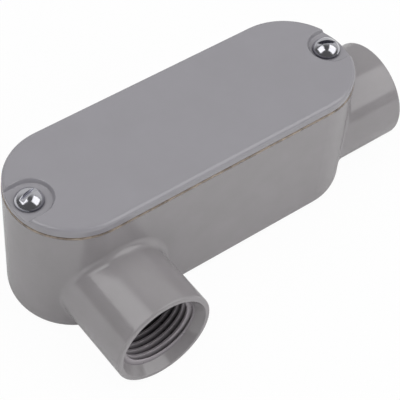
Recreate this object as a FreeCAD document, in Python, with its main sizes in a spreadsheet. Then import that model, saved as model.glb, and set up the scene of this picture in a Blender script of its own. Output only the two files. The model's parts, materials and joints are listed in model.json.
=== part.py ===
"""Threaded conduit body for half-inch conduit: box, gasket, cover and two cover screws.

Frame: the origin is the centre of the flat back. +Z points to the cover, +X to the end hub,
and the side hub points to -Y. Millimetres.
"""
import FreeCAD, Part
import math
import os
import Sketcher

SIZES = [
    # box casting
    ("bodyLength", 100.8, "box length at the cover rim"),
    ("bodyWidth", 34.3, "box width at the cover rim, also twice the radius of its ends"),
    ("bodyDepth", 37.1, "flat back to cover rim"),
    ("draftAngle", 0.55, "die draft of every upright wall, degrees"),
    ("bottomRadius", 4.4, "rounding between the back and the side walls"),
    ("wallThickness", 2.6, "side wall of the box"),
    ("floorThickness", 2.8, "back wall of the box"),
    ("cavityRadius", 2.0, "rounding inside, between floor and wall"),
    # hubs
    ("hubWall", 3.0, "hub metal outside the thread"),
    ("hubLift", 0.7, "underside of both hubs above the flat back"),
    ("endHubReach", 14.2, "end hub beyond the end of the box"),
    ("sideHubReach", 19.4, "side hub beyond the side of the box"),
    ("sideHubFromEnd", 18.9, "side hub axis from the blind end of the box"),
    ("hubRootRadius", 2.0, "cast fillet where a hub leaves the box"),
    ("hubLipRadius", 0.6, "rounding round a hub's face"),
    # bores
    ("boreRadius", 10.6, "thread's major radius, cut as a plain bore"),
    ("threadDepth", 14.0, "hub face to the conduit stop"),
    ("mouthFlare", 1.6, "countersunk mouth wider than the bore, each side"),
    ("mouthDepth", 2.5, "depth of the countersink"),
    ("stopWidth", 2.7, "conduit stop, from the bore in to the throat"),
    ("throatRound", 1.2, "rounded edges of the throat"),
    # screw bosses
    ("screwFromEnd", 4.8, "screw axis from the end of the box"),
    ("bossWall", 2.3, "boss metal round a screw hole"),
    ("tipRoom", 0.65, "screw hole beyond the screw's tip"),
    ("bossLift", 0.7, "underside of the bosses above the rounded throats"),
    # gasket
    ("gasketThickness", 0.8, "gasket as clamped"),
    ("gasketInset", 0.1, "gasket edge inside the rim of the box"),
    # cover
    ("coverThickness", 2.55, "cover plate"),
    ("coverInset", 0.15, "cover edge inside the rim of the box"),
    ("coverEdgeRadius", 1.0, "rounding of the cover's upper edges"),
    ("seatMargin", 2.15, "seat wider than a screw head at the cover's top, each side"),
    ("seatDepth", 1.2, "screw seat below the cover's top"),
    ("seatSlope", 25, "slope of a seat's wall from upright, degrees"),
    ("leftSeatOut", -0.3, "left seat's centre outward of its screw axis"),
    ("rightSeatOut", 1.1, "right seat's centre outward of its screw axis"),
    ("seatRadius", 0.4, "fillet between a seat's floor and wall"),
    ("seatEdgeRadius", 0.3, "rounding along the top of a seat's wall"),
    # screws
    ("headRadius", 3.7, "round head"),
    ("headHeight", 3.0, "round head above its seat"),
    ("headRim", 0.4, "upright rim under the dome"),
    ("slotWidth", 1.2, "driver slot"),
    ("slotDepth", 1.0, "driver slot below the crown"),
    ("shankRadius", 2.08, "screw thread's major radius"),
    ("screwLength", 12.7, "under the head to the tip"),
    ("tipChamfer", 0.6, "bevel at the tip"),
    ("tapClearance", 0.04, "shank to tapped hole, each side"),
    ("holeClearance", 0.3, "shank to gasket and cover holes, each side"),
    ("leftSlotAngle", 14.0, "turn of the left screw's slot from +X, degrees"),
    ("rightSlotAngle", -29.0, "turn of the right screw's slot from +X, degrees"),
]

# Sizes and places that follow from those above, as expressions on the sheet.
CENTRES = "(sizes.bodyLength - sizes.bodyWidth)"
HUB_RADIUS = "(sizes.boreRadius + sizes.hubWall)"
HUB_HEIGHT = "(sizes.boreRadius + sizes.hubWall + sizes.hubLift)"
THROAT_RADIUS = "(sizes.boreRadius - sizes.stopWidth)"
SCREW_X = "(sizes.bodyLength / 2 - sizes.screwFromEnd)"
TAP_RADIUS = "(sizes.shankRadius + sizes.tapClearance)"
COVER_Z = "(sizes.bodyDepth + sizes.gasketThickness)"
TOP_Z = "(sizes.bodyDepth + sizes.gasketThickness + sizes.coverThickness)"
SEAT_Z = f"({TOP_Z} - sizes.seatDepth)"
SEAT_HALF_WIDTH = "(sizes.headRadius + sizes.seatMargin)"
SEAT_RUN = "(sizes.seatDepth * tan(sizes.seatSlope * 1deg))"
SEAT_X = {-1: f"({SCREW_X} + sizes.leftSeatOut)", 1: f"({SCREW_X} + sizes.rightSeatOut)"}
TAP_DEPTH = f"(sizes.bodyDepth - {SEAT_Z} + sizes.screwLength + sizes.tipRoom)"
BOSS_Z = f"({HUB_HEIGHT} + {THROAT_RADIUS} + sizes.throatRound + sizes.bossLift)"

# Each hub: the centre of its face, the turn that points its own X inward, its length outside the box.
HUBS = {
    "endHub": {
        "faceX": "(sizes.bodyLength / 2 + sizes.endHubReach)",
        "faceY": "0",
        "turn": 180,
        "reach": "sizes.endHubReach",
    },
    "sideHub": {
        "faceX": "(sizes.sideHubFromEnd - sizes.bodyLength / 2)",
        "faceY": "-(sizes.bodyWidth / 2 + sizes.sideHubReach)",
        "turn": 90,
        "reach": "sizes.sideHubReach",
    },
}
UP = FreeCAD.Vector(0, 0, 1)

doc = FreeCAD.newDocument("conduit_body")
sheet = doc.addObject("Spreadsheet::Sheet", "sizes")


def fillSheet():
    for row, (name, value, note) in enumerate(SIZES, start=1):
        sheet.set(f"A{row}", name)
        sheet.set(f"B{row}", str(value))
        sheet.set(f"C{row}", note)
        sheet.setAlias(f"B{row}", name)
    doc.recompute()


def evaluate(rule):
    # the present value of an expression on the sheet
    return float(sheet.evalExpression(rule))


def size(name):
    return evaluate("sizes." + name)


def near(a, b):
    return abs(a - b) < 0.01


def newBody(label):
    body = doc.addObject("PartDesign::Body", label)
    body.Label = label
    return body


def newSketch(body, name, plane="XY_Plane", height=None):
    # a sketch on one of the body's own planes, lifted along the plane's normal by an expression
    sketch = body.newObject("Sketcher::SketchObject", name)
    base = [f for f in body.Origin.OriginFeatures if f.Role == plane][0]
    sketch.AttachmentSupport = [(base, "")]
    sketch.MapMode = "FlatFace"
    if height:
        sketch.setExpression("AttachmentOffset.Base.z", height)
    return sketch


def newHubSketch(body, name, hub):
    # its X runs inward along the hub's axis from the face, its Y is the radius
    sketch = newSketch(body, name, height=HUB_HEIGHT)
    turn = FreeCAD.Rotation(UP, hub["turn"])
    sketch.AttachmentOffset = FreeCAD.Placement(FreeCAD.Vector(0, 0, 0), turn)
    sketch.setExpression("AttachmentOffset.Base.x", hub["faceX"])
    sketch.setExpression("AttachmentOffset.Base.y", hub["faceY"])
    return sketch


def constrain(sketch, name, kind, *where, rule):
    # a driving dimension bound to the sheet
    index = sketch.addConstraint(Sketcher.Constraint(kind, *where, evaluate(rule)))
    sketch.renameConstraint(index, name)
    sketch.setExpression(f"Constraints.{name}", rule)


def placePoint(sketch, name, geometry, vertex, x, y):
    # ties one vertex to the sketch's origin, or to an axis where its expression is 0
    for kind, axis, rule in (("DistanceX", -2, x), ("DistanceY", -1, y)):
        if rule == "0":
            sketch.addConstraint(Sketcher.Constraint("PointOnObject", geometry, vertex, axis))
        else:
            constrain(sketch, name + kind[-1], kind, -1, 1, geometry, vertex, rule=rule)


def drawStadium(sketch, radiusRule):
    # straight sides and round ends, whose centres are where the box has them
    radius = evaluate(radiusRule)
    side = FreeCAD.Vector(0, radius, 0)
    right = FreeCAD.Vector(evaluate(CENTRES) / 2, 0, 0)
    left = -right
    quarter = math.pi / 2
    top = sketch.addGeometry(Part.LineSegment(left + side, right + side), False)
    low = sketch.addGeometry(Part.LineSegment(right - side, left - side), False)
    endA = sketch.addGeometry(
        Part.ArcOfCircle(Part.Circle(right, UP, radius), -quarter, quarter), False)
    endB = sketch.addGeometry(
        Part.ArcOfCircle(Part.Circle(left, UP, radius), quarter, 3 * quarter), False)
    sketch.addConstraint([
        Sketcher.Constraint("Tangent", top, 2, endA, 2),
        Sketcher.Constraint("Tangent", endA, 1, low, 1),
        Sketcher.Constraint("Tangent", low, 2, endB, 2),
        Sketcher.Constraint("Tangent", endB, 1, top, 1),
        Sketcher.Constraint("Equal", endA, endB),
        Sketcher.Constraint("Symmetric", endA, 3, endB, 3, -1, 1),
        Sketcher.Constraint("PointOnObject", endA, 3, -1),
    ])
    constrain(sketch, "endRadius", "Radius", endA, rule=radiusRule)
    constrain(sketch, "centres", "DistanceX", endB, 3, endA, 3, rule=CENTRES)


def drawScrewCircles(sketch, radiusRule):
    # one circle on each screw axis
    for name, side in (("left", -1), ("right", 1)):
        place = f"{side} * {SCREW_X}"
        centre = FreeCAD.Vector(evaluate(place), 0, 0)
        circle = sketch.addGeometry(Part.Circle(centre, UP, evaluate(radiusRule)), False)
        sketch.addConstraint(Sketcher.Constraint("PointOnObject", circle, 3, -1))
        constrain(sketch, name + "Radius", "Radius", circle, rule=radiusRule)
        constrain(sketch, name + "Place", "DistanceX", -1, 1, circle, 3, rule=place)


def drawEndSlots(sketch, centreRules, radiusRule, endRule):
    # at each end a U: half a circle on the inner side of its centre, straight sides running outward
    for name, side in (("left", -1), ("right", 1)):
        place = f"{side} * {centreRules[side]}"
        end = f"{side} * ({endRule})"
        radius = evaluate(radiusRule)
        start = side * math.pi / 2
        corners = [(place, radius), (end, radius), (end, -radius), (place, -radius)]
        points = [FreeCAD.Vector(evaluate(x), y, 0) for x, y in corners]
        circle = Part.Circle(FreeCAD.Vector(evaluate(place), 0, 0), UP, radius)
        arc = sketch.addGeometry(Part.ArcOfCircle(circle, start, start + math.pi), False)
        top, cap, low = [
            sketch.addGeometry(Part.LineSegment(points[i], points[i + 1]), False) for i in range(3)]
        upper, lower = (1, 2) if side > 0 else (2, 1)
        sketch.addConstraint([
            Sketcher.Constraint("Tangent", arc, upper, top, 1),
            Sketcher.Constraint("Coincident", top, 2, cap, 1),
            Sketcher.Constraint("Coincident", cap, 2, low, 1),
            Sketcher.Constraint("Tangent", low, 2, arc, lower),
            Sketcher.Constraint("Horizontal", top),
            Sketcher.Constraint("Horizontal", low),
            Sketcher.Constraint("Vertical", cap),
            Sketcher.Constraint("PointOnObject", arc, 3, -1),
        ])
        constrain(sketch, name + "Radius", "Radius", arc, rule=radiusRule)
        constrain(sketch, name + "Place", "DistanceX", -1, 1, arc, 3, rule=place)
        constrain(sketch, name + "End", "DistanceX", -1, 1, cap, 1, rule=end)


def drawProfile(sketch, points):
    # a closed outline of straight lines, each corner given as two expressions on the sheet
    guess = [FreeCAD.Vector(evaluate(x), evaluate(y), 0) for x, y in points]
    count = len(points)
    for i in range(count):
        sketch.addGeometry(Part.LineSegment(guess[i], guess[(i + 1) % count]), False)
    for i in range(count):
        sketch.addConstraint(Sketcher.Constraint("Coincident", i, 2, (i + 1) % count, 1))
    for i, (x, y) in enumerate(points):
        placePoint(sketch, f"corner{i}", i, 1, x, y)


def drawDomedProfile(sketch, points):
    # straight lines through the points, closed by an arc whose centre lies on the vertical axis
    guess = [FreeCAD.Vector(evaluate(x), evaluate(y), 0) for x, y in points]
    rim, crown = guess[0], guess[-1]
    last = len(points) - 2
    for i in range(last + 1):
        sketch.addGeometry(Part.LineSegment(guess[i], guess[i + 1]), False)
    rise = crown.y - rim.y
    radius = (rim.x ** 2 + rise ** 2) / (2 * rise)
    centre = FreeCAD.Vector(0, crown.y - radius, 0)
    start = math.atan2(rim.y - centre.y, rim.x)
    dome = sketch.addGeometry(
        Part.ArcOfCircle(Part.Circle(centre, UP, radius), start, math.pi / 2), False)
    for i in range(last):
        sketch.addConstraint(Sketcher.Constraint("Coincident", i, 2, i + 1, 1))
    sketch.addConstraint([
        Sketcher.Constraint("Coincident", dome, 1, 0, 1),
        Sketcher.Constraint("Coincident", dome, 2, last, 2),
        Sketcher.Constraint("PointOnObject", dome, 3, -2),
    ])
    for i, (x, y) in enumerate(points[:-1]):
        placePoint(sketch, f"corner{i}", i, 1, x, y)
    placePoint(sketch, "crown", last, 2, *points[-1])


def addFeature(body, kind, name, sketch, **settings):
    # settings that are text starting with = are bound to the sheet
    made = body.newObject(kind, name)
    made.Profile = (sketch, [""])
    doc.recompute()
    for key, value in settings.items():
        if isinstance(value, str) and value.startswith("="):
            made.setExpression(key, value[1:])
        else:
            setattr(made, key, value)
    doc.recompute()


def turnAbout(body, kind, name, sketch, axis):
    # a full turn of the sketch about one of its own axes
    addFeature(body, kind, name, sketch, ReferenceAxis=(sketch, [axis]), Angle=360.0)


def roundEdges(body, name, radiusRule, test):
    # fillets each edge of the body so far whose sampled points all pass the test
    base = body.Tip
    names = [f"Edge{i}" for i, edge in enumerate(base.Shape.Edges, start=1)
             if all(test(p) for p in edge.discretize(5))]
    fillet = body.newObject("PartDesign::Fillet", name)
    fillet.Base = (base, names)
    fillet.setExpression("Radius", radiusRule)
    doc.recompute()


def hubPosition(hub, point):
    # depth behind the hub's face, and distance from the hub's axis
    faceX = evaluate(hub["faceX"])
    faceY = evaluate(hub["faceY"])
    rise = point.z - evaluate(HUB_HEIGHT)
    if hub["turn"] == 180:
        return faceX - point.x, math.hypot(point.y - faceY, rise)
    return point.y - faceY, math.hypot(point.x - faceX, rise)


def onHubRoot(point):
    # where the outside of either hub meets the box
    for hub in HUBS.values():
        depth, radius = hubPosition(hub, point)
        if near(radius, evaluate(HUB_RADIUS)) and depth > evaluate(hub["reach"]) / 2:
            return True
    return False


def onHubFaceRim(point):
    # the outer edge of either hub's face
    return any(near(hubPosition(hub, point)[0], 0) for hub in HUBS.values())


def onThroatEdge(point):
    throat = evaluate(THROAT_RADIUS)
    return any(near(hubPosition(hub, point)[1], throat) for hub in HUBS.values())


def buildBody():
    body = newBody("body")
    outline = newSketch(body, "boxOutline", height="sizes.bodyDepth")
    drawStadium(outline, "sizes.bodyWidth / 2")
    addFeature(body, "PartDesign::Pad", "box", outline, Reversed=True,
               Length="=sizes.bodyDepth", TaperAngle="=-sizes.draftAngle")
    roundEdges(body, "bottomRounding", "sizes.bottomRadius", lambda p: near(p.z, 0))
    for name, hub in HUBS.items():
        addHub(body, name, hub)
    roundEdges(body, "hubRoots", "sizes.hubRootRadius", onHubRoot)
    roundEdges(body, "hubLips", "sizes.hubLipRadius", onHubFaceRim)
    cutCavity(body)
    addBosses(body)
    for name, hub in HUBS.items():
        cutBore(body, name, hub)
    roundEdges(body, "throatRounding", "sizes.throatRound", onThroatEdge)
    tapScrewHoles(body)
    return body


def addHub(body, name, hub):
    # a plain round bar from the hub's face into the middle of the box
    inner = hub["reach"] + " + sizes.bodyWidth / 2"
    sketch = newHubSketch(body, name + "Outline", hub)
    drawProfile(sketch, [("0", "0"), ("0", HUB_RADIUS), (inner, HUB_RADIUS), (inner, "0")])
    turnAbout(body, "PartDesign::Revolution", name, sketch, "H_Axis")


def cutBore(body, name, hub):
    # countersunk mouth, plain bore at the thread's major radius, conduit stop, smooth throat
    inner = hub["reach"] + " + sizes.bodyWidth / 2"
    sketch = newHubSketch(body, name + "BoreOutline", hub)
    drawProfile(sketch, [
        ("0", "0"),
        ("0", "sizes.boreRadius + sizes.mouthFlare"),
        ("sizes.mouthDepth", "sizes.boreRadius"),
        ("sizes.threadDepth", "sizes.boreRadius"),
        ("sizes.threadDepth", THROAT_RADIUS),
        (inner, THROAT_RADIUS),
        (inner, "0"),
    ])
    turnAbout(body, "PartDesign::Groove", name + "Bore", sketch, "H_Axis")


def cutCavity(body):
    outline = newSketch(body, "cavityOutline", height="sizes.bodyDepth")
    drawStadium(outline, "sizes.bodyWidth / 2 - sizes.wallThickness")
    addFeature(body, "PartDesign::Pocket", "cavity", outline,
               Length="=sizes.bodyDepth - sizes.floorThickness", TaperAngle="=-sizes.draftAngle")
    floor = size("floorThickness")
    roundEdges(body, "cavityRounding", "sizes.cavityRadius", lambda p: near(p.z, floor))


def addBosses(body):
    # the end walls thicken into a boss round each screw, from the rim down to just above the throats
    outline = newSketch(body, "bossOutline", height="sizes.bodyDepth")
    drawEndSlots(outline, {-1: SCREW_X, 1: SCREW_X}, f"{TAP_RADIUS} + sizes.bossWall",
                 "sizes.bodyLength / 2 - sizes.wallThickness / 2")
    addFeature(body, "PartDesign::Pad", "bosses", outline, Reversed=True,
               Length=f"=sizes.bodyDepth - {BOSS_Z}")


def tapScrewHoles(body):
    # straight holes from the rim
    circles = newSketch(body, "tapCircles", height="sizes.bodyDepth")
    drawScrewCircles(circles, TAP_RADIUS)
    addFeature(body, "PartDesign::Pocket", "screwHoles", circles, Length=f"={TAP_DEPTH}")


def buildGasket():
    body = newBody("gasket")
    outline = newSketch(body, "gasketOutline", height="sizes.bodyDepth")
    drawStadium(outline, "sizes.bodyWidth / 2 - sizes.gasketInset")
    drawScrewCircles(outline, "sizes.shankRadius + sizes.holeClearance")
    addFeature(body, "PartDesign::Pad", "gasketSheet", outline, Length="=sizes.gasketThickness")
    return body


def buildCover():
    body = newBody("cover")
    outline = newSketch(body, "coverOutline", height=COVER_Z)
    drawStadium(outline, "sizes.bodyWidth / 2 - sizes.coverInset")
    drawScrewCircles(outline, "sizes.shankRadius + sizes.holeClearance")
    addFeature(body, "PartDesign::Pad", "plate", outline, Length="=sizes.coverThickness")
    roundEdges(body, "rimRounding", "sizes.coverEdgeRadius", onCoverRim)
    seats = newSketch(body, "seatOutline", height=TOP_Z)
    drawEndSlots(seats, SEAT_X, SEAT_HALF_WIDTH, "sizes.bodyLength / 2 + 2")
    addFeature(body, "PartDesign::Pocket", "screwSeats", seats, Length="=sizes.seatDepth",
               TaperAngle="=-sizes.seatSlope")
    roundEdges(body, "seatRounding", "sizes.seatRadius", onSeatFloorEdge)
    roundEdges(body, "seatEdgeRounding", "sizes.seatEdgeRadius", onSeatEdge)
    return body


def seatWallGap(point):
    # how far a point of the cover lies outside the top of the nearer seat's wall, seen from above
    side = 1 if point.x > 0 else -1
    inward = max(evaluate(SEAT_X[side]) - abs(point.x), 0)
    return math.hypot(inward, point.y) - evaluate(SEAT_HALF_WIDTH)


def outlineGap(point):
    # how far a point lies inside the cover's outline, seen from above
    outward = max(abs(point.x) - evaluate(CENTRES) / 2, 0)
    return size("bodyWidth") / 2 - size("coverInset") - math.hypot(outward, point.y)


def onSeatFloorEdge(point):
    return near(seatWallGap(point), -evaluate(SEAT_RUN)) and near(point.z, evaluate(SEAT_Z))


def onCoverRim(point):
    return near(outlineGap(point), 0) and near(point.z, evaluate(TOP_Z))


def onSeatEdge(point):
    # the top of each seat's wall, and the lip of its floor over the end of the cover
    if near(point.z, evaluate(TOP_Z)) and near(seatWallGap(point), 0):
        return True
    return near(outlineGap(point), 0) and near(point.z, evaluate(SEAT_Z))


def buildScrew(label, side, angleRule):
    # turned about its own Z with the underside of its head at 0, then set on its seat
    body = newBody(label)
    outline = newSketch(body, label + "Outline", "XZ_Plane")
    drawDomedProfile(outline, [
        ("sizes.headRadius", "sizes.headRim"),
        ("sizes.headRadius", "0"),
        ("sizes.shankRadius", "0"),
        ("sizes.shankRadius", "sizes.tipChamfer - sizes.screwLength"),
        ("sizes.shankRadius - sizes.tipChamfer", "-sizes.screwLength"),
        ("0", "-sizes.screwLength"),
        ("0", "sizes.headHeight"),
    ])
    turnAbout(body, "PartDesign::Revolution", label + "Turned", outline, "V_Axis")
    cutSlot(body, label)
    body.setExpression("Placement.Base.x", f"{side} * {SCREW_X}")
    body.setExpression("Placement.Base.z", SEAT_Z)
    body.setExpression("Placement.Rotation.Angle", angleRule)
    doc.recompute()
    return body


def cutSlot(body, label):
    # right across the head
    slot = newSketch(body, label + "SlotOutline", height="sizes.headHeight")
    reach = "(sizes.headRadius + 1)"
    half = "sizes.slotWidth / 2"
    drawProfile(slot, [
        ("-" + reach, "-" + half), (reach, "-" + half), (reach, half), ("-" + reach, half)])
    addFeature(body, "PartDesign::Pocket", label + "Slot", slot, Length="=sizes.slotDepth")


def checkDocument(bodies):
    for item in doc.Objects:
        if "Invalid" in item.State or "Error" in item.State:
            raise RuntimeError(f"{item.Label} failed: {item.State}")
    for body in bodies:
        if body.Shape.isNull() or not body.Shape.isValid():
            raise RuntimeError(f"{body.Label} has no valid shape")
        if len(body.Shape.Solids) != 1:
            raise RuntimeError(f"{body.Label} is not one solid")


def writeParts(bodies):
    os.makedirs("parts", exist_ok=True)
    for body in bodies:
        body.Shape.exportStep(os.path.join("parts", body.Label + ".step"))
        box = body.Shape.optimalBoundingBox()
        print(f"{body.Label}: {body.Shape.Volume:.1f} mm3,"
              f" x {box.XMin:.2f} {box.XMax:.2f}, y {box.YMin:.2f} {box.YMax:.2f},"
              f" z {box.ZMin:.2f} {box.ZMax:.2f}")


fillSheet()
pieces = [
    buildBody(),
    buildGasket(),
    buildCover(),
    buildScrew("cover_screw_left", -1, "sizes.leftSlotAngle"),
    buildScrew("cover_screw_right", 1, "sizes.rightSlotAngle"),
]
checkDocument(pieces)
writeParts(pieces)
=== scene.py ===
import json
import math

import bmesh
import bpy
import numpy as np
from mathutils import Matrix, Vector


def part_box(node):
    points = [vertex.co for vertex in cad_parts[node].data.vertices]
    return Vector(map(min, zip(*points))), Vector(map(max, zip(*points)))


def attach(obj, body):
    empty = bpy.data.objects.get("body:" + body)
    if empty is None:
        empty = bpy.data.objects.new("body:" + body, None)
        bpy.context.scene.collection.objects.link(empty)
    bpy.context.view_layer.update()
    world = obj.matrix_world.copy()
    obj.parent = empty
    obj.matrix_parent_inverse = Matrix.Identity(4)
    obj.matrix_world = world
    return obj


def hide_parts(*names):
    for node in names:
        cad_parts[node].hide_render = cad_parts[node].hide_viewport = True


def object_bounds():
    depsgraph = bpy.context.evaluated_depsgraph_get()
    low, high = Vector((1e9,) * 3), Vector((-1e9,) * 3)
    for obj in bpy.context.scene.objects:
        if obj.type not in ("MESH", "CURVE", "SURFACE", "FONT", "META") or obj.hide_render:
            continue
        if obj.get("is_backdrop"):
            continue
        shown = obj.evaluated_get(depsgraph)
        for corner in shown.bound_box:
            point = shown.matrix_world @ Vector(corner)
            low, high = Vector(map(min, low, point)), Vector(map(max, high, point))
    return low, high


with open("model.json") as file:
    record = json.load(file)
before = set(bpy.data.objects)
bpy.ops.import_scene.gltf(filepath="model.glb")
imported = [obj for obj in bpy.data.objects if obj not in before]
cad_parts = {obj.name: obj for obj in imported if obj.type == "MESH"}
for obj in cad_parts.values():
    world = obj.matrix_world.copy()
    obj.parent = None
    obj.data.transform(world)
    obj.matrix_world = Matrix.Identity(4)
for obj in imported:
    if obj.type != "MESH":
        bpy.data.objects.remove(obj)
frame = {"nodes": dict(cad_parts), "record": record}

# lengths are in mm and angles in degrees, unless a note says otherwise
mm = 0.001
# vertices nearer than this are one
mergeWithin = 0.0001
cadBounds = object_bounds()
print("frame loaded:", sorted(frame["nodes"]))


def linear(hexColour):
    # sRGB hex to the linear colour that shaders use
    parts = [int(hexColour[i:i + 2], 16) / 255 for i in (1, 3, 5)]
    return [c / 12.92 if c <= 0.04045 else ((c + 0.055) / 1.055) ** 2.4 for c in parts] + [1.0]


def towards(azimuth, elevation):
    # unit vector from the part to whatever stands at these angles
    az, el = math.radians(azimuth), math.radians(elevation)
    return Vector((math.sin(az) * math.cos(el), -math.cos(az) * math.cos(el), math.sin(el)))


def boxOf(node):
    # lowest and highest corner of a CAD node
    return [np.array(corner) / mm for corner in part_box(node)]


def addNode(tree, kind, **inputs):
    # one node; a key names a socket (or its number after an underscore) or a node setting,
    # a socket given as value is linked, anything else is set
    node = tree.nodes.new(kind)
    for key, value in inputs.items():
        if key.startswith("_") and key[1:].isdigit():
            socket = node.inputs[int(key[1:])]
        else:
            socket = node.inputs.get(key.replace("_", " "))
        if socket is None:
            setattr(node, key, value)
        elif isinstance(value, bpy.types.NodeSocket):
            tree.links.new(value, socket)
        else:
            socket.default_value = value
    return node


def newMaterial(name):
    material = bpy.data.materials.new(name)
    material.use_nodes = True
    tree = material.node_tree
    tree.nodes.clear()
    return material, tree


def finishMaterial(tree, shader):
    addNode(tree, "ShaderNodeOutputMaterial", Surface=shader.outputs[0])


def shellMesh(name, shells):
    # each shell is a grid points[i, j] of places: j always runs round a closed loop, i runs from
    # end to end with a flat face over each end, or also round where the shell is marked as a ring
    places, faces, start = [], [], 0
    for points, isRing in shells:
        rows, cols = points.shape[:2]
        ids = np.arange(rows * cols).reshape(rows, cols) + start
        if isRing:
            ids = np.vstack([ids, ids[:1]])
        near, far = ids[:-1], ids[1:]
        quads = np.stack([near, np.roll(near, -1, 1), np.roll(far, -1, 1), far], -1)
        faces += quads.reshape(-1, 4).tolist()
        if not isRing:
            faces += [ids[0][::-1].tolist(), ids[-1].tolist()]
        places.append(points.reshape(-1, 3))
        start += rows * cols
    mesh = bpy.data.meshes.new(name)
    mesh.from_pydata((np.concatenate(places) * mm).tolist(), [], faces)
    mesh.update()
    return mesh


def addPiece(name, mesh, material, smoothAngle):
    # faces point outwards, and shading is smooth except over edges sharper than smoothAngle
    work = bmesh.new()
    work.from_mesh(mesh)
    bmesh.ops.remove_doubles(work, verts=work.verts, dist=mergeWithin * mm)
    bmesh.ops.recalc_face_normals(work, faces=work.faces)
    work.to_mesh(mesh)
    work.free()
    piece = bpy.data.objects.new(name, mesh)
    bpy.context.scene.collection.objects.link(piece)
    mesh.materials.append(material)
    mesh.shade_smooth()
    mesh.set_sharp_from_angle(angle=math.radians(smoothAngle))
    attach(piece, "root")
    print("piece:", name, len(mesh.polygons), "faces")
    return piece


def vertexPlaces(piece):
    places = np.empty(len(piece.data.vertices) * 3)
    piece.data.vertices.foreach_get("co", places)
    return places.reshape(-1, 3) / mm


def setAttribute(piece, name, values):
    # one number for each vertex, which the material reads by this name
    attribute = piece.data.attributes.new(name, "FLOAT", "POINT")
    attribute.data.foreach_set("value", values.astype(np.float32))


# camera

camera = {
    "azimuth": -41.08,
    "elevation": 49.838,
    "roll": 5.352,
    "distance": 380.205,
    "target": (-5.789, -14.963, 27.743),
    "lens": 138.9,
    "sensorWidth": 36,
    "clipStart": 10,
    "clipEnd": 20000,
}


def addCamera(c):
    az, roll = math.radians(c["azimuth"]), math.radians(c["roll"])
    back = towards(c["azimuth"], c["elevation"])
    right = Vector((math.cos(az), math.sin(az), 0))
    up = back.cross(right)
    side = right * math.cos(roll) + up * math.sin(roll)
    top = up * math.cos(roll) - right * math.sin(roll)
    data = bpy.data.cameras.new("camera")
    data.lens = c["lens"]
    data.sensor_width = c["sensorWidth"]
    data.clip_start = c["clipStart"] * mm
    data.clip_end = c["clipEnd"] * mm
    eye = bpy.data.objects.new("camera", data)
    eye.matrix_world = Matrix.Translation((Vector(c["target"]) + back * c["distance"]) * mm) @ \
        Matrix((side, top, back)).transposed().to_4x4()
    bpy.context.scene.collection.objects.link(eye)
    bpy.context.scene.camera = eye


addCamera(camera)
print("camera set")

# light

studio = {
    # the backdrop stands at this azimuth; the room fades into it where the cosine of the angle
    # between the two goes from fadeFrom to fadeTo
    "backdropAt": 139,
    "fadeFrom": 0.0,
    "fadeTo": 0.75,
    # brightness of the room and of the backdrop as they light the part, and as mirrors show them
    "roomLevel": 0.28,
    "backdropLevel": 0.1,
    "mirrorRoom": 0.1,
    "mirrorBackdrop": 0.6,
    # the paper under the part: floorLift is how far the camera sees it lifted towards white
    "floorColour": "#F2F2F2",
    "floorRoughness": 0.5,
    "floorLift": 0.96,
    # the rest is in metres
    "floorHalf": 2.5,
    "floorBelow": 0.0002,
    "lampDistance": 0.9,
    # azimuth, elevation, width, height, power in watts, seen in mirrors
    "lamps": {
        "rightSoftbox": (44, 44, 0.84, 0.84, 2.9, True),
        "leftSoftbox": (-108, 50, 0.72, 0.72, 2.2, True),
        "ceiling": (0, 88, 1.0, 1.0, 3.1, False),
        "frontFill": (6, 7, 0.9, 0.22, 1.0, False),
    },
}


def addLamps(c, centre):
    # area lamps that face the part's middle
    for name, (azimuth, elevation, width, height, power, inMirrors) in c["lamps"].items():
        back = towards(azimuth, elevation)
        data = bpy.data.lights.new(name, "AREA")
        data.shape = "RECTANGLE"
        data.size = width
        data.size_y = height
        data.energy = power
        lamp = bpy.data.objects.new(name, data)
        lamp.location = centre + back * c["lampDistance"]
        lamp.rotation_mode = "QUATERNION"
        lamp.rotation_quaternion = (-back).to_track_quat("-Z", "Y")
        lamp.visible_glossy = inMirrors
        bpy.context.scene.collection.objects.link(lamp)


def setWorld(c):
    # past the floor the camera sees plain white. The part is lit by a dim room that is darker
    # behind it, and glossy surfaces show a dark room with a bright backdrop behind the part
    world = bpy.data.worlds.new("studio")
    bpy.context.scene.world = world
    world.use_nodes = True
    tree = world.node_tree
    tree.nodes.clear()
    path = addNode(tree, "ShaderNodeLightPath")
    sight = addNode(tree, "ShaderNodeTexCoord").outputs["Generated"]
    behind = addNode(tree, "ShaderNodeVectorMath", operation="DOT_PRODUCT", _0=sight,
                     _1=towards(c["backdropAt"], 0))
    rooms = []
    for low, high in (("roomLevel", "backdropLevel"), ("mirrorRoom", "mirrorBackdrop")):
        fade = addNode(tree, "ShaderNodeMapRange", interpolation_type="SMOOTHSTEP",
                       Value=behind.outputs["Value"], From_Min=c["fadeFrom"],
                       From_Max=c["fadeTo"], To_Min=c[low], To_Max=c[high])
        rooms.append(addNode(tree, "ShaderNodeBackground", Color=(1, 1, 1, 1),
                             Strength=fade.outputs[0]))
    room = addNode(tree, "ShaderNodeMixShader", _0=path.outputs["Is Glossy Ray"],
                   _1=rooms[0].outputs[0], _2=rooms[1].outputs[0])
    white = addNode(tree, "ShaderNodeBackground", Color=(1, 1, 1, 1), Strength=1.0)
    mixed = addNode(tree, "ShaderNodeMixShader", _0=path.outputs["Is Camera Ray"],
                    _1=room.outputs[0], _2=white.outputs[0])
    addNode(tree, "ShaderNodeOutputWorld", Surface=mixed.outputs[0])


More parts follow.
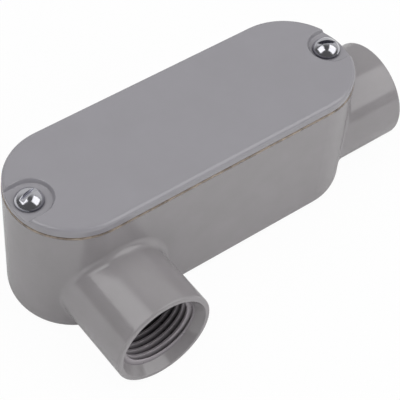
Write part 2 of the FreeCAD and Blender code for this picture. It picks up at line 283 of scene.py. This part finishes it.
def addFloor(c):
    # matt white paper; the camera sees it lifted towards white, with the shadow still on it
    paper, tree = newMaterial("matt white studio paper")
    path = addNode(tree, "ShaderNodeLightPath")
    matt = addNode(tree, "ShaderNodeBsdfDiffuse", Color=linear(c["floorColour"]),
                   Roughness=c["floorRoughness"])
    glow = addNode(tree, "ShaderNodeEmission", Color=(1, 1, 1, 1), Strength=1.0)
    share = addNode(tree, "ShaderNodeMath", operation="MULTIPLY",
                    _0=path.outputs["Is Camera Ray"], _1=c["floorLift"])
    finishMaterial(tree, addNode(tree, "ShaderNodeMixShader", _0=share.outputs[0],
                                 _1=matt.outputs[0], _2=glow.outputs[0]))
    half = c["floorHalf"]
    corners = [(-half, -half, 0), (half, -half, 0), (half, half, 0), (-half, half, 0)]
    mesh = bpy.data.meshes.new("floor")
    mesh.from_pydata(corners, [], [(0, 1, 2, 3)])
    floor = bpy.data.objects.new("floor", mesh)
    floor.location.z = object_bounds()[0].z - c["floorBelow"]
    mesh.materials.append(paper)
    bpy.context.scene.collection.objects.link(floor)
    floor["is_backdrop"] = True


addLamps(studio, (cadBounds[0] + cadBounds[1]) / 2)
setWorld(studio)
addFloor(studio)
bpy.context.scene.view_settings.view_transform = "Standard"
print("studio set")

# finishes. A pair for roughness or metallic is the least and the most of it, and a bump is a
# strength and a height

enamel = {
    "bodyColour": "#9A9699",
    "bodyWorn": "#908D8E",
    "coverColour": "#9C9AA0",
    "coverWorn": "#969499",
    "roughness": (0.14, 0.19),
    "ior": 1.75,
    # spacing of the cloudy tone, of the orange peel and of the casting's grain under the paint
    "cloud": 9.09,
    "peel": 3.0,
    "grain": 0.6,
    "peelBump": (0.08, 0.1),
}


def enamelMaterial(name, worn, colour, c):
    # grey baked enamel sprayed on a die casting: a semi-gloss skin whose highlights have soft
    # edges, faintly rippled, so that the long ones waver a little
    material, tree = newMaterial(name)
    place = addNode(tree, "ShaderNodeTexCoord").outputs["Object"]
    cloud = addNode(tree, "ShaderNodeTexNoise", Vector=place, Scale=1 / (c["cloud"] * mm),
                    Detail=3.0, Roughness=0.55)
    tone = addNode(tree, "ShaderNodeMix", data_type="RGBA", _0=cloud.outputs[0],
                   _6=linear(worn), _7=linear(colour))
    ripple = addNode(tree, "ShaderNodeTexNoise", Vector=place, Scale=1 / (c["peel"] * mm),
                     Detail=2.0)
    grain = addNode(tree, "ShaderNodeTexNoise", Vector=place, Scale=1 / (c["grain"] * mm),
                    Detail=1.0)
    rough = addNode(tree, "ShaderNodeMapRange", Value=grain.outputs[0],
                    To_Min=c["roughness"][0], To_Max=c["roughness"][1])
    bump = addNode(tree, "ShaderNodeBump", Strength=c["peelBump"][0],
                   Distance=c["peelBump"][1] * mm, Height=ripple.outputs[0])
    paint = addNode(tree, "ShaderNodeBsdfPrincipled", Base_Color=tone.outputs[2], IOR=c["ior"],
                    Roughness=rough.outputs[0], Normal=bump.outputs[0])
    finishMaterial(tree, paint)
    return material


zinc = {
    "colour": "#D6D6DC",
    # colour of the shade painted in the slot and under the rim
    "paintedShade": "#50505F",
    "roughness": (0.08, 0.22),
    # spacing of the plating's haze, which is finer in reality and wouldn't show
    "haze": 0.4,
    "hazeBump": (0.15, 0.03),
}


def zincMaterial(c):
    # bright clear zinc plate on turned steel: a mirror that is a little hazy, bluish in the greys,
    # and dull and dark in the slot and under the rim, where shade is painted into its colour
    material, tree = newMaterial("bright zinc plate")
    place = addNode(tree, "ShaderNodeTexCoord").outputs["Object"]
    haze = addNode(tree, "ShaderNodeTexNoise", Vector=place, Scale=1 / (c["haze"] * mm),
                   Detail=2.0)
    rough = addNode(tree, "ShaderNodeMapRange", Value=haze.outputs[0],
                    To_Min=c["roughness"][0], To_Max=c["roughness"][1])
    bump = addNode(tree, "ShaderNodeBump", Strength=c["hazeBump"][0],
                   Distance=c["hazeBump"][1] * mm, Height=haze.outputs[0])
    paintedShade = addNode(tree, "ShaderNodeAttribute", attribute_name="paintedShade")
    tone = addNode(tree, "ShaderNodeMix", data_type="RGBA", _0=paintedShade.outputs["Fac"],
                   _6=linear(c["colour"]), _7=linear(c["paintedShade"]))
    plate = addNode(tree, "ShaderNodeBsdfPrincipled", Base_Color=tone.outputs[2], Metallic=1.0,
                    Roughness=rough.outputs[0], Normal=bump.outputs[0])
    finishMaterial(tree, plate)
    return material


cork = {
    # where the binder's tone ends and where the crumb's begins, in the noise
    "tones": ((0.36, "#82776E"), (0.62, "#B5A799")),
    "crumbs": 3.125,
    "crumbBump": (0.5, 0.1),
    "roughness": 0.85,
}


def gasketMaterial(c):
    # bonded cork and fibre sheet, cut with a die: tan crumbs and darker binder, matt. The crumbs
    # lie in clumps some 3 mm across, and the finest are a sixteenth of that
    material, tree = newMaterial("cork fibre sheet")
    place = addNode(tree, "ShaderNodeTexCoord").outputs["Object"]
    crumb = addNode(tree, "ShaderNodeTexNoise", Vector=place, Scale=1 / (c["crumbs"] * mm),
                    Detail=4.0, Roughness=0.7)
    ramp = addNode(tree, "ShaderNodeValToRGB", Fac=crumb.outputs[0])
    for element, (position, colour) in zip(ramp.color_ramp.elements, c["tones"]):
        element.position = position
        element.color = linear(colour)
    bump = addNode(tree, "ShaderNodeBump", Strength=c["crumbBump"][0],
                   Distance=c["crumbBump"][1] * mm, Height=crumb.outputs[0])
    sheet = addNode(tree, "ShaderNodeBsdfPrincipled", Base_Color=ramp.outputs[0],
                    Roughness=c["roughness"], Normal=bump.outputs[0])
    finishMaterial(tree, sheet)
    return material


tapped = {
    # pale overspray tone, lighter than the enamel, which also paints the light falling in at the
    # mouth
    "sprayedAndLit": "#B6B0B5",
    # dark colour of bare oily metal, with painted shade deep in the bore and in the grooves
    "oilAndShade": "#474347",
    "metallic": (0.15, 0.6),
    "roughness": (0.2, 0.42),
    # spacing of the marks that a chattering tap leaves
    "chatter": 1.0,
    "chatterBump": (0.4, 0.06),
}


def cutMetalMaterial(c):
    # tapped cast aluminium: overspray and painted light keep the crests near the mouth pale grey,
    # while the grooves and all that lies further in are bare, darkened by cutting oil and painted
    # shade, and glint
    material, tree = newMaterial("tapped cast aluminium")
    place = addNode(tree, "ShaderNodeTexCoord").outputs["Object"]
    depth = addNode(tree, "ShaderNodeAttribute", attribute_name="depth")
    chatter = addNode(tree, "ShaderNodeTexNoise", Vector=place, Scale=1 / (c["chatter"] * mm),
                      Detail=3.0)
    tone = addNode(tree, "ShaderNodeMix", data_type="RGBA", _0=depth.outputs["Fac"],
                   _6=linear(c["sprayedAndLit"]), _7=linear(c["oilAndShade"]))
    metal = addNode(tree, "ShaderNodeMapRange", Value=depth.outputs["Fac"],
                    To_Min=c["metallic"][0], To_Max=c["metallic"][1])
    rough = addNode(tree, "ShaderNodeMapRange", Value=chatter.outputs[0],
                    To_Min=c["roughness"][0], To_Max=c["roughness"][1])
    bump = addNode(tree, "ShaderNodeBump", Strength=c["chatterBump"][0],
                   Distance=c["chatterBump"][1] * mm, Height=chatter.outputs[0])
    cut = addNode(tree, "ShaderNodeBsdfPrincipled", Base_Color=tone.outputs[2],
                  Metallic=metal.outputs[0], Roughness=rough.outputs[0],
                  Normal=bump.outputs[0])
    finishMaterial(tree, cut)
    return material


bodyEnamel = enamelMaterial("grey baked enamel", enamel["bodyWorn"], enamel["bodyColour"], enamel)
coverEnamel = enamelMaterial("grey baked enamel on cover", enamel["coverWorn"],
                             enamel["coverColour"], enamel)
zincPlate = zincMaterial(zinc)
corkSheet = gasketMaterial(cork)
cutMetal = cutMetalMaterial(tapped)
for node, material in (("body", bodyEnamel), ("cover", coverEnamel)):
    mesh = frame["nodes"][node].data
    mesh.materials.clear()
    mesh.materials.append(material)
print("finishes made")

# pipe threads in both hubs

pipeThread = {
    "pitch": 1.814,
    "rootRadius": 10.585,
    "crestRadius": 9.5,
    "outerRadius": 10.75,
    # radius lost for each mm of depth, as in a taper pipe thread
    "taper": 1 / 32,
    # depths behind the hub's face where the sleeve starts, at the countersink's edge, and ends
    "start": 2.46,
    "end": 13.9,
    # the first crest's flank: the radius it leaves, and its rise for each mm of depth
    "startRadius": 10.58,
    "leadIn": 2.4,
    # length over which the last crest runs out into the root
    "runOut": 0.3,
    # the groove's share of the pitch, and where in the pitch each hub's thread starts
    "grooveShare": 0.72,
    "turnOffset": {"end": 0.8, "side": 0.8},
    # grid steps
    "around": 180,
    "perPitch": 20,
    "smoothAngle": 40,
    # depth where the overspray ends, and the part of the oil and painted shade that comes from the
    # groove
    "oversprayTo": 9.5,
    "grooveDark": 0.6,
}


def threadPoints(c, offset):
    # a sleeve: for each angle a round the hub the section is a loop, inward face first and then
    # straight back outside. With depth d, the groove share is a clipped triangle wave of
    # (d / pitch - a / full turn), and the radius runs from the crest line to the root by that
    # share; the first crest rises from the countersink's edge along a straight flank
    steps = int((c["end"] - c["start"]) / c["pitch"] * c["perPitch"])
    depth = np.linspace(c["start"], c["end"], steps + 1)
    turn = np.linspace(0, 2 * np.pi, c["around"], endpoint=False)
    d, a = np.meshgrid(depth, turn, indexing="xy")
    wave = np.abs((d / c["pitch"] - a / (2 * np.pi) + offset) % 1.0 * 2 - 1)
    groove = np.clip((wave - 1 + c["grooveShare"]) / c["grooveShare"], 0, 1)
    groove = np.maximum(groove, 1 - np.clip((depth[-1] - d) / c["runOut"], 0, 1))
    flank = c["startRadius"] - (d - c["start"]) * c["leadIn"]
    crest = np.maximum(c["crestRadius"] - d * c["taper"], flank)
    r = crest + (c["rootRadius"] - crest) * groove
    inner = np.stack([r * np.cos(a), r * np.sin(a), d], -1)
    back = np.stack([c["outerRadius"] * np.cos(a), c["outerRadius"] * np.sin(a), d], -1)
    return np.concatenate([inner, back[:, ::-1]], 1)


def placeInHub(points, hub):
    # local z is the depth behind the hub's face; seen from outside, local x points left and y up
    x, y, depth = points[..., 0], points[..., 1], points[..., 2]
    if hub == "end":
        return np.stack([bodyHigh[0] - depth, -x, y + hubHeight], -1)
    return np.stack([sideHubX - x, bodyLow[1] + depth, y + hubHeight], -1)


def oilAndShadeShare(places, hub, c):
    # how bare, oily and shaded the metal is, from 0 to 1, with shade painted in: part of it grows
    # with the depth, as far as the overspray reaches, and part with how far a place is sunk in the
    # groove
    depth = bodyHigh[0] - places[:, 0] if hub == "end" else places[:, 1] - bodyLow[1]
    aside = places[:, 1] if hub == "end" else places[:, 0] - sideHubX
    sunk = np.hypot(aside, places[:, 2] - hubHeight) - c["crestRadius"]
    sunk = np.clip(sunk / (c["rootRadius"] - c["crestRadius"]), 0, 1)
    deep = np.clip((depth - c["start"]) / (c["oversprayTo"] - c["start"]), 0, 1)
    return c["grooveDark"] * sunk + (1 - c["grooveDark"]) * deep


bodyLow, bodyHigh = boxOf("body")
mounts = {mount["name"]: np.array(mount["pos_m"]) / mm for mount in frame["record"]["mounts"]}
hubHeight = mounts["end_hub"][2]
sideHubX = mounts["side_hub"][0]
for hub, offset in pipeThread["turnOffset"].items():
    points = placeInHub(threadPoints(pipeThread, offset), hub)
    mesh = shellMesh(hub + "_hub_thread", [(points, True)])
    sleeve = addPiece(hub + "_hub_thread", mesh, cutMetal,
                      pipeThread["smoothAngle"])
    # the depth attribute carries oil and painted shade, darker further in and in the grooves
    setAttribute(sleeve, "depth", oilAndShadeShare(vertexPlaces(sleeve), hub, pipeThread))
print("pipe threads made")

# cover screws

screw = {
    "headRadius": 3.7,
    "headHeight": 3.0,
    "rimHeight": 0.45,
    "underRadius": 3.3,
    "slotWidth": 1.2,
    "slotDepth": 0.95,
    "slotTurn": {"cover_screw_left": 14.0, "cover_screw_right": -29.0},
    # the slot's wall with its rounded edge: places across it, from half the slot's width, and how
    # far each is sunk from the dome, as a share of the way to the slot's floor
    "wallAt": (-0.07, -0.025, 0.0, 0.035, 0.09),
    "wallSunk": (1.0, 0.93, 0.12, 0.03, 0.0),
    # where the even slices of the floor end and those of the dome begin, either side of the wall
    "floorTo": 0.12,
    "domeFrom": 0.16,
    # grid steps of the head
    "floorSlices": 6,
    "domeSlices": 40,
    "alongSlice": 73,
    "rimSteps": 6,
    "smoothAngle": 32,
    "threadRadius": 2.06,
    "coreRadius": 1.6,
    "threadPitch": 0.794,
    "length": 12.7,
    "intoHead": 0.3,
    # the tip loses this share of its radius over its length
    "tipLength": 1.0,
    "tipNarrow": 0.3,
    # grid steps of the thread
    "threadSteps": 260,
    "threadAround": 40,
    # painted shade in the slot: how far below the dome it starts, over what depth it builds up,
    # and how much there is by the walls (from wallInner before to wallOuter past them) and on the
    # floor
    "shadeBelow": 0.05,
    "shadeOver": 0.2,
    "wallInner": 0.1,
    "wallOuter": 0.01,
    "wallShade": 0.9,
    "floorShade": 0.05,
    # painted shade under the rim: height over the seat where it ends, and over what height it
    # builds up
    "rimShadeTo": 0.95,
    "rimShadeOver": 0.6,
}


def domeHeight(x, y, c):
    # the dome is part of a sphere through the rim and the top of the head
    rise = c["headHeight"] - c["rimHeight"]
    sphere = (c["headRadius"] ** 2 + rise ** 2) / (2 * rise)
    return c["headHeight"] - sphere + np.sqrt(np.clip(sphere ** 2 - x ** 2 - y ** 2, 0, None))


def slicesAcross(c):
    # places of the slices across the slot, and how far each is sunk from the dome to the slot's
    # floor: even over the floor, close together at the walls, and closing up towards the rim
    half = c["slotWidth"] / 2
    floor = np.linspace(0, half - c["floorTo"], c["floorSlices"])
    domeStart = np.arcsin((half + c["domeFrom"]) / c["headRadius"])
    dome = c["headRadius"] * np.sin(np.linspace(domeStart, np.pi / 2, c["domeSlices"]))
    across = np.concatenate([floor, half + np.array(c["wallAt"]), dome])
    sunk = np.concatenate([floor * 0 + 1, c["wallSunk"], dome * 0])
    return np.concatenate([-across[:0:-1], across]), np.concatenate([sunk[:0:-1], sunk])


def headPoints(c):
    # slices across the slot: each is a loop that goes over the dome, down and in under the rounded
    # rim, back along the flat underside and up the other rim. Between the slot's walls the height
    # is no more than the slot's floor
    across, sunk = slicesAcross(c)
    reach = np.sqrt(np.clip(c["headRadius"] ** 2 - across ** 2, 0, None))
    along = np.sin(np.linspace(-np.pi / 2, np.pi / 2, c["alongSlice"]))
    x = reach[:, None] * along
    y = across[:, None] + 0 * x
    dome = domeHeight(x, y, c)
    floor = np.minimum(dome, c["headHeight"] - c["slotDepth"])
    top = dome + (floor - dome) * sunk[:, None]
    swing = np.linspace(0, np.pi / 2, c["rimSteps"] + 1)[1:]
    shrink = 1 - (1 - c["underRadius"] / c["headRadius"]) * (1 - np.cos(swing))
    drop = c["rimHeight"] * (1 - np.sin(swing))
    edge = np.stack([reach, across], -1)
    right = [np.column_stack([edge * k, 0 * across + h]) for k, h in zip(shrink, drop)]
    left = [np.column_stack([edge * [-k, k], 0 * across + h]) for k, h in zip(shrink, drop)]
    under = np.stack([x * shrink[-1], y * shrink[-1], 0 * x], -1)[:, -2:0:-1]
    return np.concatenate([np.stack([x, y, top], -1), np.stack(right, 1), under,
                           np.stack(left[::-1], 1)], 1)


def shankPoints(c):
    # a screw thread: radius is core plus ridge height times a triangle wave of (z / pitch -
    # a / full turn), narrowing over the last millimetre to the tip
    z, a = np.meshgrid(np.linspace(-c["length"], c["intoHead"], c["threadSteps"]),
                       np.linspace(0, 2 * np.pi, c["threadAround"], endpoint=False),
                       indexing="ij")
    wave = np.abs((z / c["threadPitch"] - a / (2 * np.pi)) % 1.0 * 2 - 1)
    tip = 1 - c["tipNarrow"] * (1 - np.clip((z + c["length"]) / c["tipLength"], 0, 1))
    r = (c["coreRadius"] + (c["threadRadius"] - c["coreRadius"]) * wave) * tip
    return np.stack([r * np.cos(a), r * np.sin(a), z], -1)


def paintedShadeShare(places, c):
    # painted shade, darkest in the slot by its walls, and under the rim; x runs along the slot
    pastWall = np.abs(places[:, 1]) - c["slotWidth"] / 2
    below = domeHeight(places[:, 0], places[:, 1], c) - places[:, 2]
    sunk = np.clip((below - c["shadeBelow"]) / c["shadeOver"], 0, 1)
    sunk *= pastWall < c["wallOuter"]
    sunk *= np.where(pastWall > -c["wallInner"], c["wallShade"], c["floorShade"])
    rim = np.clip((c["rimShadeTo"] - places[:, 2]) / c["rimShadeOver"], 0, 1)
    return np.maximum(sunk, rim)


def addScrew(name, turnDegrees, c):
    low, high = boxOf(name)
    place = np.array([(low[0] + high[0]) / 2, 0, low[2] + c["length"]])
    turn = math.radians(turnDegrees)
    spin = np.array([[math.cos(turn), -math.sin(turn), 0],
                     [math.sin(turn), math.cos(turn), 0],
                     [0, 0, 1]])
    mesh = shellMesh(name + "_turned", [(headPoints(c) @ spin.T + place, False),
                                        (shankPoints(c) + place, False)])
    piece = addPiece(name + "_turned", mesh, zincPlate, c["smoothAngle"])
    # shade painted into the zinc's colour in the slot and under the rim
    setAttribute(piece, "paintedShade", paintedShadeShare((vertexPlaces(piece) - place) @ spin, c))
    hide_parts(name)


for name, turnDegrees in screw["slotTurn"].items():
    addScrew(name, turnDegrees, screw)
print("screws made")

# gasket

gasket = {
    # how far the lip and the upper half lie inside the box's outline, and the lip's share of the
    # thickness
    "lipIn": 0.11,
    "upperIn": 0.33,
    "lipShare": 0.6,
    # how far the cut edge wanders, and its waves: number round the outline, phase, share
    "ragged": 0.12,
    "waves": ((23, 0.4, 0.30), (61, 1.9, 0.25), (97, 4.1, 0.25), (149, 2.7, 0.20)),
    "around": 900,
    "holeRadius": 2.38,
    "holeAround": 48,
    "smoothAngle": 50,
}


def sheetOutline(inset, c):
    # round the box: straight sides joined by half circles, pushed in and out by a sum of sine
    # waves along the way, each a whole number of times round, so that it closes on itself
    radius = bodyHigh[1] - inset
    straight = -bodyLow[0] - bodyHigh[1]
    side = 2 * straight
    arc = np.pi * radius
    total = 4 * straight + 2 * np.pi * radius
    way = np.linspace(0, total, c["around"], endpoint=False)
    push = sum(share * np.sin(2 * np.pi * count * way / total + phase)
               for count, phase, share in c["waves"]) * c["ragged"]
    # first side, first half circle, second side, and the rest is the second half circle
    legs = [way < side, way < side + arc, way < 2 * side + arc]
    turn = np.select(legs, [0 * way, (way - side) / radius, 0 * way + np.pi],
                     (way - 2 * side - arc) / radius + np.pi)
    x = np.select(legs, [way - straight, 0 * way + straight, straight - (way - side - arc)],
                  0 * way - straight)
    out = radius + push
    return np.stack([x + out * np.sin(turn), -out * np.cos(turn)], -1)


def flatSheet(name, inset, low, high, c):
    # a sheet filled between its outline and two screw holes, thick from low to high
    turn = np.linspace(0, 2 * np.pi, c["holeAround"], endpoint=False)
    hole = c["holeRadius"] * np.stack([np.cos(turn), np.sin(turn)], -1)
    loops = [sheetOutline(inset, c)]
    for node in screw["slotTurn"]:
        lowest, highest = boxOf(node)
        loops.append(hole + [(lowest[0] + highest[0]) / 2, 0])
    curve = bpy.data.curves.new(name, "CURVE")
    curve.dimensions = "2D"
    curve.fill_mode = "BOTH"
    curve.extrude = (high - low) / 2 * mm
    for loop in loops:
        spline = curve.splines.new("POLY")
        spline.points.add(len(loop) - 1)
        flat = np.column_stack([loop * mm, np.zeros(len(loop)), np.ones(len(loop))])
        spline.points.foreach_set("co", flat.astype(np.float32).ravel())
        spline.use_cyclic_u = True
    holder = bpy.data.objects.new(name, curve)
    mesh = bpy.data.meshes.new_from_object(holder)
    bpy.data.objects.remove(holder)
    bpy.data.curves.remove(curve)
    mesh.transform(Matrix.Translation((0, 0, (high + low) / 2 * mm)))
    return mesh


def addGasket(c):
    # the lower half stands out to the rim, the upper half is drawn back under the cover
    low, high = [corner[2] for corner in boxOf("gasket")]
    split = low + (high - low) * c["lipShare"]
    lip = flatSheet("lip", c["lipIn"], low, split, c)
    upper = flatSheet("upper", c["upperIn"], split, high, c)
    work = bmesh.new()
    work.from_mesh(lip)
    work.from_mesh(upper)
    mesh = bpy.data.meshes.new("gasket_cut")
    work.to_mesh(mesh)
    work.free()
    piece = addPiece("gasket_cut", mesh, corkSheet, c["smoothAngle"])
    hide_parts("gasket")


addGasket(gasket)
print("gasket made")
